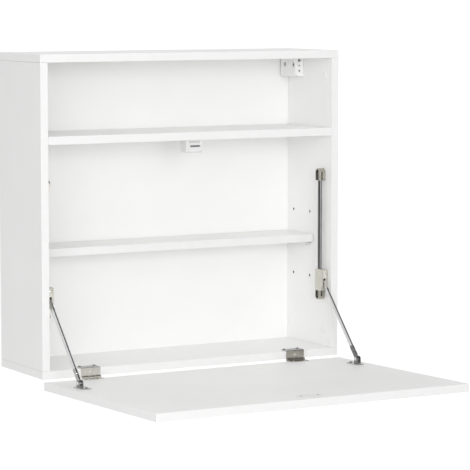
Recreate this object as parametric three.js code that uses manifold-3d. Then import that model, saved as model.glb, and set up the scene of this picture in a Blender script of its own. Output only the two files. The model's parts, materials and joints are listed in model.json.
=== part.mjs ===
// Wall-hung secretary desk: a white board cabinet whose drop-down flap is the writing surface.
// Millimetres, +Z up, front facing -Y. The origin lies on the wall plane, on the cabinet's centre
// line, at mid-thickness of the top panel. The flap is shown open, resting on its two stays.

import * as THREE from 'three';
import { mergeVertices } from 'three/addons/utils/BufferGeometryUtils.js';
import Module from 'manifold-3d';

const wasm = await Module();
wasm.setup();

// Driving dimensions of the cabinet.
const WIDTH = 640;
const HEIGHT = 600;
const DEPTH = 187;
const BOARD = 15;
const BACK_BOARD = 3;
const BACK_SET_IN = 168;          // back board's inner face, behind the front plane
const GROOVE_DEPTH = 5;
const GAP = 0.3;                  // clearance between neighbouring pieces
const FIXED_SHELF_TOP = 449;      // heights are above the cabinet's underside
const LOOSE_SHELF_TOP = 234.3;
const LOOSE_SHELF_SET_IN = 67;    // the loose shelf starts this far behind the front plane

// System holes in the side panels.
const PIN_COLUMNS = [82, 144.5];
const PIN_ROWS = [150.5, 214.5, 278.5];
const PIN_ROW_USED = 214.5;
const PIN_RADIUS = 2.5;
const PIN_HOLE_DEPTH = 9;
const PIN_HEAD_RADIUS = 4.5;
const PIN_HEAD_LENGTH = 8;
const CAM_COLUMNS = [28, 157];
const CAM_EDGE_DISTANCE = 34;     // from the side panel's end to the cam's axis
const CAM_RADIUS = 7.5;
const CAM_DEPTH = 12.5;

// Flap and its hinge line.
const FLAP_LENGTH = 447;
const FLAP_TILT = 1.35;           // degrees above level when open
const AXIS_FORWARD = 2.7;         // hinge axis in front of the front plane
const AXIS_DROP = 2;              // hinge axis below the underside
const FLAP_FACE_DROP = 2.2;       // flap's upper face below the hinge axis
const FLAP_EDGE_FORWARD = 2.9;    // flap's rear edge in front of the hinge axis
const HINGE_FROM_SIDE = 98;
const HINGE_WIDTH = 40;
const KNUCKLE_RADIUS = 3.2;
const HINGE_PIN_RADIUS = 1.6;
const HINGE_PIN_PROUD = 0.5;
const SHEET = 1.2;                // sheet metal of hinge leaves and strike plate
const LEAF_REACH = 20;            // how far the leaves lie on the boards

// Sliding flap stays.
const STAY_FROM_SIDE = 23;        // stay's middle plane, from the cabinet's outer side
const ROD_RADIUS = 4;
const ROD_SET_IN = 30.5;          // rod axis behind the front plane
const ROD_BOTTOM = 114.5;
const ROD_TOP = 362;
const HOLDER_BOTTOM = 108.5;
const HOLDER_TOP = 368;
const HOLDER_LENGTH = 18;
const HOLDER_BREADTH = 16;        // along the depth
const HOLDER_THICKNESS = 13.5;    // out from the side panel
const HOLDER_END_WALL = 5;        // beyond the rod's end
const SLIDER_LENGTH = 42;
const SLIDER_WIDTH = 13;
const SLIDER_SET_IN = 12;         // slider's front face behind the front plane
const SLIDER_BREADTH = 25;
const SLIDER_HEEL = 8;            // how far the lower front corner is cut back
const SLIDER_HEEL_HEIGHT = 12;
const SLIDER_CHAMFER = 2;
const SLIDER_SLOT = 5.4;
const SLIDER_SLOT_DEPTH = 10.6;
const SLIDER_BOTTOM = HOLDER_BOTTOM + HOLDER_LENGTH + GAP;
const UPPER_PIVOT_SET_IN = 16;
const UPPER_PIVOT_HEIGHT = 144;
const LOWER_PIVOT_REACH = 105;    // from the flap's rear edge
const LOWER_PIVOT_RISE = 9.5;     // above the flap's upper face
const ARM_RADIUS = 4;
const ARM_BLADE = 4;              // thickness of the flattened ends
const ARM_BLADE_BREADTH = 7.8;
const ARM_NECK = 24;              // length of the flattened upper end
const ARM_EYE_RADIUS = 4.8;
const SLEEVE_RADIUS = 4.9;
const SLEEVE_LENGTH = 36;
const SLEEVE_NECK = 10;           // length of the sleeve's flattened end
const SLEEVE_SOCKET = 20;         // where the arm's rod ends inside the sleeve
const BRACKET_LENGTH = 40;
const BRACKET_WIDTH = 18;
const BRACKET_SHEET = 1.5;
const EAR_GAP = 5.4;
const EAR_RADIUS = 6;
const PIVOT_PIN_RADIUS = 1.9;
const RIVET_HEAD = 1.4;
const RIVET_HEAD_RADIUS = 3.2;
const BRAKE_SCREW_RADIUS = 2.3;
const BRAKE_SCREW_HEIGHT = 162;
const BRAKE_SCREW_SET_IN = 19.5;

// Catch and strike.
const CATCH_WIDTH = 34;
const CATCH_HEIGHT = 24;
const CATCH_LENGTH = 24;
const CATCH_SET_IN = 1;
const NOSE_WIDTH = 27;            // the part of the catch that meets the strike
const NOSE_HEIGHT = 14.6;
const NOSE_PROUD = 2.8;
const MAGNET_WIDTH = 21;          // a bar in a slot across the nose
const MAGNET_HEIGHT = 3;
const MAGNET_RISE = 4.7;          // above the strike's middle
const MAGNET_BACK = 14;
const MAGNET_PROUD = 3;           // how far the magnet stands out of the front plane
const STRIKE_WIDTH = 50;
const STRIKE_BREADTH = 16;
const STRIKE_FROM_EDGE = 30;      // strike's middle, from the flap's front edge

// Wall hangers.
const HANGER_SET_IN = 108.4;
const HANGER_LENGTH = 56.5;
const HANGER_WIDTH = 18.3;
const HANGER_HEIGHT = 39.5;
const HANGER_WALL = 2;
const FIXING_COLUMNS = [116.5, 149]; // the screws that hold a hanger to the side panel
const FIXING_HEIGHT = 569;
const FIXING_RADIUS = 3;
const ADJUSTER_RADIUS = 2.3;      // the screws that raise the cabinet and draw it to the wall
const ADJUSTER_LENGTH = 40;
const HEIGHT_ADJUSTER = 577.5;
const HEIGHT_ADJUSTER_HOLE = 3;
const DEPTH_ADJUSTER = 557;
const DEPTH_ADJUSTER_HOLE = 2.6;
const PEEP_HOLE = 566.3;
const PEEP_HOLE_RADIUS = 1.6;
const HOOK_WIDTH = 6;
const HOOK_SET_BACK = 6;          // hook's front end, behind the hanger's front
const HOOK_HEIGHT = 567;
const HOOK_BAR = 4;
const HOOK_TOOTH = 3.2;
const HOOK_TOOTH_DROP = 8;
const HOOK_TIP = -3.5;            // hook's rearmost face, from the wall plane
const WALL_PLATE_SHEET = 2;
const WALL_PLATE_REACH = 55;      // from the side panel's inner face to the plate's inner end
const WALL_SCREWS = [10, 31];     // wall screws, from the plate's inner end
const WALL_SCREW_HEIGHT = 575;
const WALL_SCREW_RADIUS = 2.5;
const RAIL_DROP = 11;             // rail's underside below the hook's
const RAIL_FORWARD = 6.5;         // rail's lip in front of the hook's rearmost face

// Lines worked out from the driving dimensions.
const HALF = WIDTH / 2;
const INNER_HALF = HALF - BOARD;
const BASE_Z = BOARD / 2 - HEIGHT;
const TOP_Z = BOARD / 2;
const FRONT_Y = -DEPTH;
const STAY_X = HALF - STAY_FROM_SIDE;
const AXIS_Y = FRONT_Y - AXIS_FORWARD;
const AXIS_Z = BASE_Z - AXIS_DROP;

const up = (height) => BASE_Z + height;
const behind = (distance) => FRONT_Y + distance;
const tilt = THREE.MathUtils.degToRad(FLAP_TILT);

// ---------------------------------------------------------------- solids

function toSolid(geometry) {
  const bare = geometry.clone();
  bare.deleteAttribute('normal');
  bare.deleteAttribute('uv');
  const merged = mergeVertices(bare, 1e-4);
  return new wasm.Manifold(new wasm.Mesh({
    numProp: 3,
    vertProperties: new Float32Array(merged.attributes.position.array),
    triVerts: new Uint32Array(merged.index.array),
  }));
}

function toGeometry(solid) {
  const mesh = solid.getMesh();
  const geometry = new THREE.BufferGeometry();
  geometry.setAttribute('position', new THREE.BufferAttribute(mesh.vertProperties, 3));
  geometry.setIndex(new THREE.BufferAttribute(mesh.triVerts, 1));
  geometry.computeVertexNormals();
  return geometry;
}

function join(...pieces) {
  return toGeometry(pieces.map(toSolid).reduce((all, next) => all.add(next)));
}

function cut(body, ...tools) {
  return toGeometry(tools.map(toSolid).reduce((left, tool) => left.subtract(tool), toSolid(body)));
}

// A block between two corners.
function block(x0, x1, y0, y1, z0, z1) {
  const geometry = new THREE.BoxGeometry(x1 - x0, y1 - y0, z1 - z0);
  return geometry.translate((x0 + x1) / 2, (y0 + y1) / 2, (z0 + z1) / 2);
}

// Round bars along X, Y and Z, between two stations on their axis.
function barX(radius, x0, x1, y, z, sides = 20) {
  const geometry = new THREE.CylinderGeometry(radius, radius, x1 - x0, sides);
  return geometry.rotateZ(Math.PI / 2).translate((x0 + x1) / 2, y, z);
}

function barY(radius, y0, y1, x, z, sides = 16) {
  const geometry = new THREE.CylinderGeometry(radius, radius, y1 - y0, sides);
  return geometry.translate(x, (y0 + y1) / 2, z);
}

function barZ(radius, z0, z1, x, y, sides = 20) {
  const geometry = new THREE.CylinderGeometry(radius, radius, z1 - z0, sides);
  return geometry.rotateX(Math.PI / 2).translate(x, y, (z0 + z1) / 2);
}

// A profile drawn in (y, z) and given a thickness along X.
function slabX(shape, x0, x1, curveSegments = 8) {
  const geometry = new THREE.ExtrudeGeometry(shape, {
    depth: x1 - x0,
    bevelEnabled: false,
    curveSegments,
  });
  geometry.rotateZ(Math.PI / 2).rotateY(Math.PI / 2);
  return geometry.translate(x0, 0, 0);
}

// ---------------------------------------------------------------- materials

function material(color, roughness, metalness) {
  return new THREE.MeshStandardMaterial({ color, roughness, metalness });
}

const whiteBoard = material(0xf2f2f0, 0.45, 0);
const whiteBack = material(0xeeeeec, 0.6, 0);
const whitePlastic = material(0xf0f0ee, 0.35, 0);
const nickel = material(0x9a9688, 0.4, 0.9);
const chrome = material(0xd6d8da, 0.12, 1);
const darkSteel = material(0x55565a, 0.35, 0.9);
const zinc = material(0xc8c5b6, 0.45, 0.8);
const brightSteel = material(0xb9bbbd, 0.3, 1);

// ---------------------------------------------------------------- assembly

const desk = new THREE.Group();
const cabinet = new THREE.Group();
const flap = new THREE.Group();
desk.add(cabinet, flap);

// The flap's group has its origin on the hinge axis, -Y out along the flap and +Z up from its face.
flap.position.set(0, AXIS_Y, AXIS_Z);
flap.rotation.set(-tilt, 0, 0);

function piece(parent, name, geometry, finish) {
  const mesh = new THREE.Mesh(geometry, finish);
  mesh.name = name;
  parent.add(mesh);
  return mesh;
}

const sides = [
  { name: 'left', sign: -1 },
  { name: 'right', sign: 1 },
];

// Two distances from the middle, as the low and high stations along X on either side.
function span(sign, inner, outer) {
  return sign > 0 ? [inner, outer] : [-outer, -inner];
}

function sideBlock(sign, inner, outer, y0, y1, z0, z1) {
  return block(...span(sign, inner, outer), y0, y1, z0, z1);
}

function sideBarX(sign, radius, inner, outer, y, z, segments) {
  return barX(radius, ...span(sign, inner, outer), y, z, segments);
}

// ---------------------------------------------------------------- boards

const inside = INNER_HALF - GAP;
const groove = [behind(BACK_SET_IN) - GAP, behind(BACK_SET_IN) + BACK_BOARD + GAP];
const shelfBack = groove[0] - GAP;

function capPanel(z0, z1, grooveZ0, grooveZ1) {
  const reach = INNER_HALF + GROOVE_DEPTH;
  return cut(
    block(-HALF, HALF, FRONT_Y, 0, z0, z1),
    block(-reach, reach, groove[0], groove[1], grooveZ0, grooveZ1),
  );
}

const ceiling = TOP_Z - BOARD;
const floor = BASE_Z + BOARD;
piece(cabinet, 'top_panel', capPanel(ceiling, TOP_Z, ceiling - 1, ceiling + GROOVE_DEPTH), whiteBoard);
piece(cabinet, 'bottom_panel', capPanel(BASE_Z, floor, floor - GROOVE_DEPTH, floor + 1), whiteBoard);

const camHeights = [floor + CAM_EDGE_DISTANCE, ceiling - CAM_EDGE_DISTANCE];

function sidePanel(sign) {
  const start = INNER_HALF - 1;
  const pinEnd = INNER_HALF + PIN_HOLE_DEPTH;
  const camEnd = INNER_HALF + CAM_DEPTH + GAP;
  const pinHoles = PIN_COLUMNS.flatMap((column) => PIN_ROWS.map((row) => (
    sideBarX(sign, PIN_RADIUS + GAP, start, pinEnd, behind(column), up(row), 16)
  )));
  const camBores = CAM_COLUMNS.flatMap((column) => camHeights.map((height) => (
    sideBarX(sign, CAM_RADIUS + GAP, start, camEnd, behind(column), height, 24)
  )));
  return cut(
    sideBlock(sign, INNER_HALF, HALF, FRONT_Y, 0, floor + GAP, ceiling - GAP),
    sideBlock(sign, start, INNER_HALF + GROOVE_DEPTH, groove[0], groove[1], BASE_Z, TOP_Z),
    ...pinHoles,
    ...camBores,
  );
}

for (const { name, sign } of sides) {
  piece(cabinet, `${name}_side_panel`, sidePanel(sign), whiteBoard);
}

function backBoard() {
  const reach = INNER_HALF + GROOVE_DEPTH - GAP;
  const y0 = behind(BACK_SET_IN);
  const y1 = y0 + BACK_BOARD;
  const notchInner = INNER_HALF - HANGER_WIDTH + 1;
  const notchBottom = ceiling - HANGER_HEIGHT + 1;
  const notches = sides.map(({ sign }) => (
    sideBlock(sign, notchInner, HALF, y0 - 1, y1 + 1, notchBottom, TOP_Z)
  ));
  const top = ceiling + GROOVE_DEPTH - GAP;
  return cut(block(-reach, reach, y0, y1, floor - GROOVE_DEPTH + GAP, top), ...notches);
}

piece(cabinet, 'back_board', backBoard(), whiteBack);
piece(
  cabinet,
  'fixed_shelf',
  block(-inside, inside, FRONT_Y, shelfBack, up(FIXED_SHELF_TOP - BOARD), up(FIXED_SHELF_TOP)),
  whiteBoard,
);
piece(
  cabinet,
  'loose_shelf',
  block(
    -inside + 0.5,
    inside - 0.5,
    behind(LOOSE_SHELF_SET_IN),
    shelfBack - 1,
    up(LOOSE_SHELF_TOP - BOARD),
    up(LOOSE_SHELF_TOP),
  ),
  whiteBoard,
);

// ---------------------------------------------------------------- shelf pins and cam locks

for (const { name, sign } of sides) {
  PIN_COLUMNS.forEach((column, index) => {
    const y = behind(column);
    const z = up(PIN_ROW_USED);
    const headStart = INNER_HALF - PIN_HEAD_LENGTH;
    const shankEnd = INNER_HALF + PIN_HOLE_DEPTH - 1;
    const shank = sideBarX(sign, PIN_RADIUS, headStart + 1, shankEnd, y, z, 16);
    const head = sideBarX(sign, PIN_HEAD_RADIUS, headStart, INNER_HALF - GAP, y, z, 16);
    const place = index === 0 ? 'front' : 'rear';
    piece(cabinet, `${name}_${place}_shelf_pin`, join(shank, head), brightSteel);
  });
  CAM_COLUMNS.forEach((column, index) => {
    const y = behind(column);
    const end = INNER_HALF + CAM_DEPTH;
    camHeights.forEach((height, level) => {
      const cam = sideBarX(sign, CAM_RADIUS, INNER_HALF, end, y, height, 20);
      const place = `${level === 0 ? 'lower' : 'upper'}_${index === 0 ? 'front' : 'rear'}`;
      piece(cabinet, `${name}_${place}_cam_lock`, cam, whitePlastic);
    });
  });
}

// ---------------------------------------------------------------- flap

// Distances out from the flap's rear edge and up from its upper face, in the flap's own group.
const out = (reach) => -(FLAP_EDGE_FORWARD + reach);
const rise = (height) => height - FLAP_FACE_DROP;

piece(
  flap,
  'flap_panel',
  block(-HALF, HALF, out(FLAP_LENGTH), out(0), rise(-BOARD), rise(0)),
  whiteBoard,
);

function strikePlate() {
  const middle = out(FLAP_LENGTH - STRIKE_FROM_EDGE);
  const half = STRIKE_WIDTH / 2 - STRIKE_BREADTH / 2;
  const radius = STRIKE_BREADTH / 2;
  const bottom = rise(GAP);
  const top = rise(GAP + SHEET);
  return join(
    block(-half, half, middle - radius, middle + radius, bottom, top),
    barZ(radius, bottom, top, -half, middle, 24),
    barZ(radius, bottom, top, half, middle, 24),
  );
}

piece(flap, 'strike_plate', strikePlate(), brightSteel);

// ---------------------------------------------------------------- hinges

const KNUCKLE_HALF = HINGE_WIDTH / 6;
const PIN_BORE = HINGE_PIN_RADIUS + GAP;

function cabinetLeaf(x) {
  const x0 = x - HINGE_WIDTH / 2;
  const x1 = x + HINGE_WIDTH / 2;
  const front = FRONT_Y - GAP - SHEET;
  const top = floor + GAP + SHEET;
  const sheet = join(
    block(x0, x1, front, behind(LEAF_REACH), floor + GAP, top),
    block(x0, x1, front, FRONT_Y - GAP, AXIS_Z, top),
    barX(KNUCKLE_RADIUS, x0, x1, AXIS_Y, AXIS_Z, 20),
  );
  return cut(
    sheet,
    barX(KNUCKLE_RADIUS + GAP, x - KNUCKLE_HALF - GAP, x + KNUCKLE_HALF + GAP, AXIS_Y, AXIS_Z, 20),
    barX(PIN_BORE, x0 - 1, x1 + 1, AXIS_Y, AXIS_Z, 16),
  );
}

function flapLeaf(x) {
  const x0 = x - HINGE_WIDTH / 2;
  const x1 = x + HINGE_WIDTH / 2;
  const clearOfKnuckles = -(KNUCKLE_RADIUS + 2 * GAP);
  const bottom = rise(GAP);
  const top = rise(GAP + SHEET);
  const sheet = join(
    block(x0, x1, -LEAF_REACH, clearOfKnuckles, bottom, top),
    block(x - KNUCKLE_HALF, x + KNUCKLE_HALF, clearOfKnuckles - 1, 0, bottom, top),
    barX(KNUCKLE_RADIUS, x - KNUCKLE_HALF, x + KNUCKLE_HALF, 0, 0, 20),
  );
  return cut(sheet, barX(PIN_BORE, x0, x1, 0, 0, 16));
}

for (const { name, sign } of sides) {
  const x = sign * (HALF - HINGE_FROM_SIDE);
  const reach = HINGE_WIDTH / 2 + HINGE_PIN_PROUD;
  const pin = barX(HINGE_PIN_RADIUS, x - reach, x + reach, AXIS_Y, AXIS_Z, 12);
  piece(cabinet, `${name}_hinge_cabinet_leaf`, cabinetLeaf(x), nickel);
  piece(cabinet, `${name}_hinge_pin`, pin, nickel);
  piece(flap, `${name}_hinge_flap_leaf`, flapLeaf(x), nickel);
}

// ---------------------------------------------------------------- stays: rod, holders and slider

const rodY = behind(ROD_SET_IN);
const ROD_BORE = ROD_RADIUS + GAP;

// A rod holder seen from the side: flat where the rod enters it, round at the far end.
function holder(x, sign, flatZ, direction) {
  const radius = HOLDER_BREADTH / 2;
  const shoulder = flatZ + direction * (HOLDER_LENGTH - radius);
  const shape = new THREE.Shape();
  shape.moveTo(rodY - radius, flatZ);
  shape.lineTo(rodY + radius, flatZ);
  shape.lineTo(rodY + radius, shoulder);
  shape.absarc(rodY, shoulder, radius, 0, direction * Math.PI, direction < 0);
  shape.closePath();
  const outer = sign * (INNER_HALF - GAP);
  const inner = outer - sign * HOLDER_THICKNESS;
  const socketEnd = flatZ + direction * (HOLDER_LENGTH - HOLDER_END_WALL);
  const socketStart = flatZ - direction;
  return cut(
    slabX(shape, Math.min(inner, outer), Math.max(inner, outer)),
    barZ(ROD_BORE, Math.min(socketStart, socketEnd), Math.max(socketStart, socketEnd), x, rodY),
  );
}

function sliderBody(x) {
  const front = behind(SLIDER_SET_IN);
  const back = front + SLIDER_BREADTH;
  const bottom = up(SLIDER_BOTTOM);
  const top = bottom + SLIDER_LENGTH;
  const profile = new THREE.Shape();
  profile.moveTo(front + SLIDER_HEEL, bottom);
  profile.lineTo(back, bottom);
  profile.lineTo(back, top);
  profile.lineTo(front + SLIDER_CHAMFER, top);
  profile.lineTo(front, top - SLIDER_CHAMFER);
  profile.lineTo(front, bottom + SLIDER_HEEL_HEIGHT);
  profile.closePath();
  const half = SLIDER_SLOT / 2;
  return cut(
    slabX(profile, x - SLIDER_WIDTH / 2, x + SLIDER_WIDTH / 2),
    barZ(ROD_BORE, bottom - 1, top + 1, x, rodY),
    block(x - half, x + half, front - 1, front + SLIDER_SLOT_DEPTH, bottom - 1, top + 1),
    barY(BRAKE_SCREW_RADIUS + GAP, front + SLIDER_SLOT_DEPTH - 1, rodY, x, up(BRAKE_SCREW_HEIGHT)),
  );
}

function brakeScrew(x) {
  const start = behind(BRAKE_SCREW_SET_IN);
  const end = rodY - ROD_RADIUS - 0.5;
  return barY(BRAKE_SCREW_RADIUS, start, end, x, up(BRAKE_SCREW_HEIGHT));
}

// ---------------------------------------------------------------- stays: arm and flap bracket

const lowerPivot = new THREE.Vector3(0, out(LOWER_PIVOT_REACH), rise(LOWER_PIVOT_RISE))
  .applyAxisAngle(new THREE.Vector3(1, 0, 0), -tilt)
  .add(flap.position);
const upperPivot = new THREE.Vector3(0, behind(UPPER_PIVOT_SET_IN), up(UPPER_PIVOT_HEIGHT));
const armLength = upperPivot.distanceTo(lowerPivot);
const armLean = Math.atan2(upperPivot.y - lowerPivot.y, upperPivot.z - lowerPivot.z);
const BLADE_HALF = ARM_BLADE / 2;

// The arm's group has its origin on the lower pivot and +Z along the arm.
function armGroup(x) {
  const group = new THREE.Group();
  group.position.set(x, lowerPivot.y, lowerPivot.z);
  group.rotation.set(-armLean, 0, 0);
  desk.add(group);
  return group;
}

function armRod() {
  const neck = armLength - ARM_NECK;
  return cut(
    join(
      barZ(ARM_RADIUS, SLEEVE_SOCKET + GAP, neck + 2, 0, 0),
      block(-BLADE_HALF, BLADE_HALF, -ARM_BLADE_BREADTH / 2, ARM_BLADE_BREADTH / 2, neck, armLength),
      barX(ARM_EYE_RADIUS, -BLADE_HALF, BLADE_HALF, 0, armLength, 20),
    ),
    barX(PIVOT_PIN_RADIUS + GAP, -5, 5, 0, armLength, 16),
  );
}

function armSleeve() {
  return cut(
    join(
      barZ(SLEEVE_RADIUS, SLEEVE_NECK, SLEEVE_LENGTH, 0, 0),
      block(-BLADE_HALF, BLADE_HALF, -4.4, 4.4, 0, SLEEVE_NECK + 2),
      barX(ARM_EYE_RADIUS, -BLADE_HALF, BLADE_HALF, 0, 0, 20),
    ),
    barX(PIVOT_PIN_RADIUS + GAP, -5, 5, 0, 0, 16),
    barZ(ARM_RADIUS + GAP, SLEEVE_SOCKET, SLEEVE_LENGTH + 1, 0, 0),
  );
}

// The bracket is one part for both sides, turned half round, so its screw end changes places.
function flapBracket(x, sign) {
  const pivotY = out(LOWER_PIVOT_REACH);
  const pivotZ = rise(LOWER_PIVOT_RISE);
  const earInner = EAR_GAP / 2;
  const earOuter = earInner + BRACKET_SHEET;
  const plateOuter = x + sign * earOuter;
  const plateInner = plateOuter - sign * BRACKET_WIDTH;
  const longEnd = pivotY + sign * (BRACKET_LENGTH / 2 + 1);
  const shortEnd = longEnd - sign * BRACKET_LENGTH;
  const bottom = rise(GAP);
  const top = rise(GAP + BRACKET_SHEET);
  const plate = block(
    Math.min(plateInner, plateOuter),
    Math.max(plateInner, plateOuter),
    Math.min(longEnd, shortEnd),
    Math.max(longEnd, shortEnd),
    bottom,
    top,
  );
  const ears = [-1, 1].flatMap((side) => {
    const x0 = x + Math.min(side * earInner, side * earOuter);
    const x1 = x0 + BRACKET_SHEET;
    return [
      block(x0, x1, pivotY - EAR_RADIUS, pivotY + EAR_RADIUS, bottom, pivotZ),
      barX(EAR_RADIUS, x0, x1, pivotY, pivotZ, 24),
    ];
  });
  const rivetBore = barX(PIVOT_PIN_RADIUS + GAP, x - 10, x + 10, pivotY, pivotZ, 16);
  return cut(join(plate, ...ears), rivetBore);
}

function bracketRivet(x) {
  const y = out(LOWER_PIVOT_REACH);
  const z = rise(LOWER_PIVOT_RISE);
  const headStart = EAR_GAP / 2 + BRACKET_SHEET + GAP;
  const headEnd = headStart + RIVET_HEAD;
  return join(
    barX(PIVOT_PIN_RADIUS, x - headStart - 0.5, x + headStart + 0.5, y, z, 12),
    barX(RIVET_HEAD_RADIUS, x - headEnd, x - headStart, y, z, 16),
    barX(RIVET_HEAD_RADIUS, x + headStart, x + headEnd, y, z, 16),
  );
}

for (const { name, sign } of sides) {
  const x = sign * STAY_X;
  const rod = barZ(ROD_RADIUS, up(ROD_BOTTOM), up(ROD_TOP), x, rodY);
  const upperFlat = up(HOLDER_TOP - HOLDER_LENGTH);
  const lowerFlat = up(HOLDER_BOTTOM + HOLDER_LENGTH);
  piece(cabinet, `${name}_guide_rod`, rod, chrome);
  piece(cabinet, `${name}_rod_upper_holder`, holder(x, sign, upperFlat, 1), zinc);
  piece(cabinet, `${name}_rod_lower_holder`, holder(x, sign, lowerFlat, -1), zinc);
  piece(cabinet, `${name}_slider_body`, sliderBody(x), zinc);
  piece(cabinet, `${name}_brake_screw`, brakeScrew(x), darkSteel);
  piece(flap, `${name}_flap_bracket`, flapBracket(x, sign), nickel);
  piece(flap, `${name}_bracket_rivet`, bracketRivet(x), brightSteel);
  const arm = armGroup(x);
  piece(arm, `${name}_arm_rod`, armRod(), chrome);
  piece(arm, `${name}_arm_sleeve`, armSleeve(), darkSteel);
  const pinHalf = SLIDER_SLOT / 2 - GAP;
  const pin = barX(PIVOT_PIN_RADIUS, -pinHalf, pinHalf, 0, armLength, 12);
  piece(arm, `${name}_arm_pin`, pin, brightSteel);
}

// ---------------------------------------------------------------- catch

const catchTop = up(FIXED_SHELF_TOP - BOARD) - GAP;
const strikeMiddle = AXIS_Z + FLAP_EDGE_FORWARD + FLAP_LENGTH - STRIKE_FROM_EDGE;
const noseBottom = strikeMiddle - NOSE_HEIGHT / 2;
const noseTop = strikeMiddle + NOSE_HEIGHT / 2;
const magnetBottom = strikeMiddle + MAGNET_RISE - MAGNET_HEIGHT / 2;
const magnetTop = magnetBottom + MAGNET_HEIGHT;

// A block centred on the cabinet, set back from the front plane.
function centreBlock(width, setIn, end, z0, z1) {
  return block(-width / 2, width / 2, behind(setIn), behind(end), z0, z1);
}

function catchHousing() {
  const back = CATCH_SET_IN + CATCH_LENGTH;
  const slotFront = -NOSE_PROUD - 1;
  const slotBack = MAGNET_BACK + GAP;
  const slotWidth = MAGNET_WIDTH + 2 * GAP;
  return cut(
    join(
      centreBlock(CATCH_WIDTH, CATCH_SET_IN, back, catchTop - CATCH_HEIGHT, catchTop),
      centreBlock(NOSE_WIDTH, -NOSE_PROUD, CATCH_SET_IN + 1, noseBottom, noseTop),
    ),
    centreBlock(slotWidth, slotFront, slotBack, magnetBottom - GAP, magnetTop + GAP),
  );
}

piece(cabinet, 'catch_housing', catchHousing(), whitePlastic);
piece(
  cabinet,
  'catch_magnet',
  centreBlock(MAGNET_WIDTH, -MAGNET_PROUD, MAGNET_BACK, magnetBottom, magnetTop),
  brightSteel,
);

// ---------------------------------------------------------------- wall hangers

const hangerTop = ceiling - GAP;
const hangerBottom = hangerTop - HANGER_HEIGHT;
const hangerFront = behind(HANGER_SET_IN);
const hangerBack = hangerFront + HANGER_LENGTH;
const hangerOuter = INNER_HALF - GAP;
const hangerInner = hangerOuter - HANGER_WIDTH;
const hangerMiddle = (hangerInner + hangerOuter) / 2;
const hookBottom = up(HOOK_HEIGHT);

function hangerBody(sign) {
  const holes = [
    { z: up(HEIGHT_ADJUSTER), radius: HEIGHT_ADJUSTER_HOLE },
    { z: up(PEEP_HOLE), radius: PEEP_HOLE_RADIUS },
    { z: up(DEPTH_ADJUSTER), radius: DEPTH_ADJUSTER_HOLE },
  ];
  const frontHoles = holes.map(({ z, radius }) => (
    barY(radius, hangerFront - 1, hangerFront + HANGER_WALL + 1, sign * hangerMiddle, z)
  ));
  const holeEnd = hangerInner + HANGER_WALL + 1;
  const fixingHoles = FIXING_COLUMNS.map((column) => (
    sideBarX(sign, FIXING_RADIUS, hangerInner - 1, holeEnd, behind(column), up(FIXING_HEIGHT), 16)
  ));
  return cut(
    sideBlock(sign, hangerInner, hangerOuter, hangerFront, hangerBack, hangerBottom, hangerTop),
    sideBlock(
      sign,
      hangerInner + HANGER_WALL,
      hangerOuter - HANGER_WALL,
      hangerFront + HANGER_WALL,
      hangerBack + 1,
      hangerBottom + HANGER_WALL,
      hangerTop - HANGER_WALL,
    ),
    ...frontHoles,
    ...fixingHoles,
  );
}

// A flat bar that reaches back out of the hanger and ends in a tooth pointing down.
function hangerHook(sign) {
  const inner = hangerMiddle - HOOK_WIDTH / 2;
  const outer = hangerMiddle + HOOK_WIDTH / 2;
  const toothFront = HOOK_TIP - HOOK_TOOTH;
  return join(
    sideBlock(sign, inner, outer, hangerFront + HOOK_SET_BACK, HOOK_TIP, hookBottom, hookBottom + HOOK_BAR),
    sideBlock(sign, inner, outer, toothFront, HOOK_TIP, hookBottom - HOOK_TOOTH_DROP, hookBottom + 1),
  );
}

// A plate screwed to the wall, with a rail whose lip stands in front of the hook's tooth.
function wallPlate(sign) {
  const sheet = WALL_PLATE_SHEET;
  const inner = INNER_HALF - WALL_PLATE_REACH;
  const outer = INNER_HALF - 2;
  const railInner = hangerMiddle - HOOK_WIDTH;
  const lipFront = HOOK_TIP - RAIL_FORWARD;
  const railBottom = hookBottom - RAIL_DROP;
  const lipTop = hookBottom - GAP;
  const screwHoles = WALL_SCREWS.map((distance) => (
    barY(WALL_SCREW_RADIUS, -sheet - 1, 1, sign * (inner + distance), up(WALL_SCREW_HEIGHT))
  ));
  return cut(
    join(
      sideBlock(sign, inner, outer, -sheet, 0, hangerBottom, hangerTop),
      sideBlock(sign, railInner, outer, lipFront, -1, railBottom, railBottom + sheet),
      sideBlock(sign, railInner, outer, lipFront, lipFront + sheet, railBottom, lipTop),
    ),
    ...screwHoles,
  );
}

function adjuster(x, height) {
  const start = hangerFront + HANGER_WALL + 1;
  return barY(ADJUSTER_RADIUS, start, start + ADJUSTER_LENGTH, x, up(height));
}

for (const { name, sign } of sides) {
  const x = sign * hangerMiddle;
  piece(cabinet, `${name}_hanger_body`, hangerBody(sign), whitePlastic);
  piece(cabinet, `${name}_hanger_hook`, hangerHook(sign), brightSteel);
  piece(cabinet, `${name}_hanger_height_screw`, adjuster(x, HEIGHT_ADJUSTER), darkSteel);
  piece(cabinet, `${name}_hanger_depth_screw`, adjuster(x, DEPTH_ADJUSTER), brightSteel);
  piece(cabinet, `${name}_wall_plate`, wallPlate(sign), brightSteel);
}

export default desk;
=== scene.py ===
"""Looks of the wall-hung secretary desk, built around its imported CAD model. Metres, +Z up."""

import json
import math

import bmesh
import bpy
from mathutils import Matrix, Vector


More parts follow.
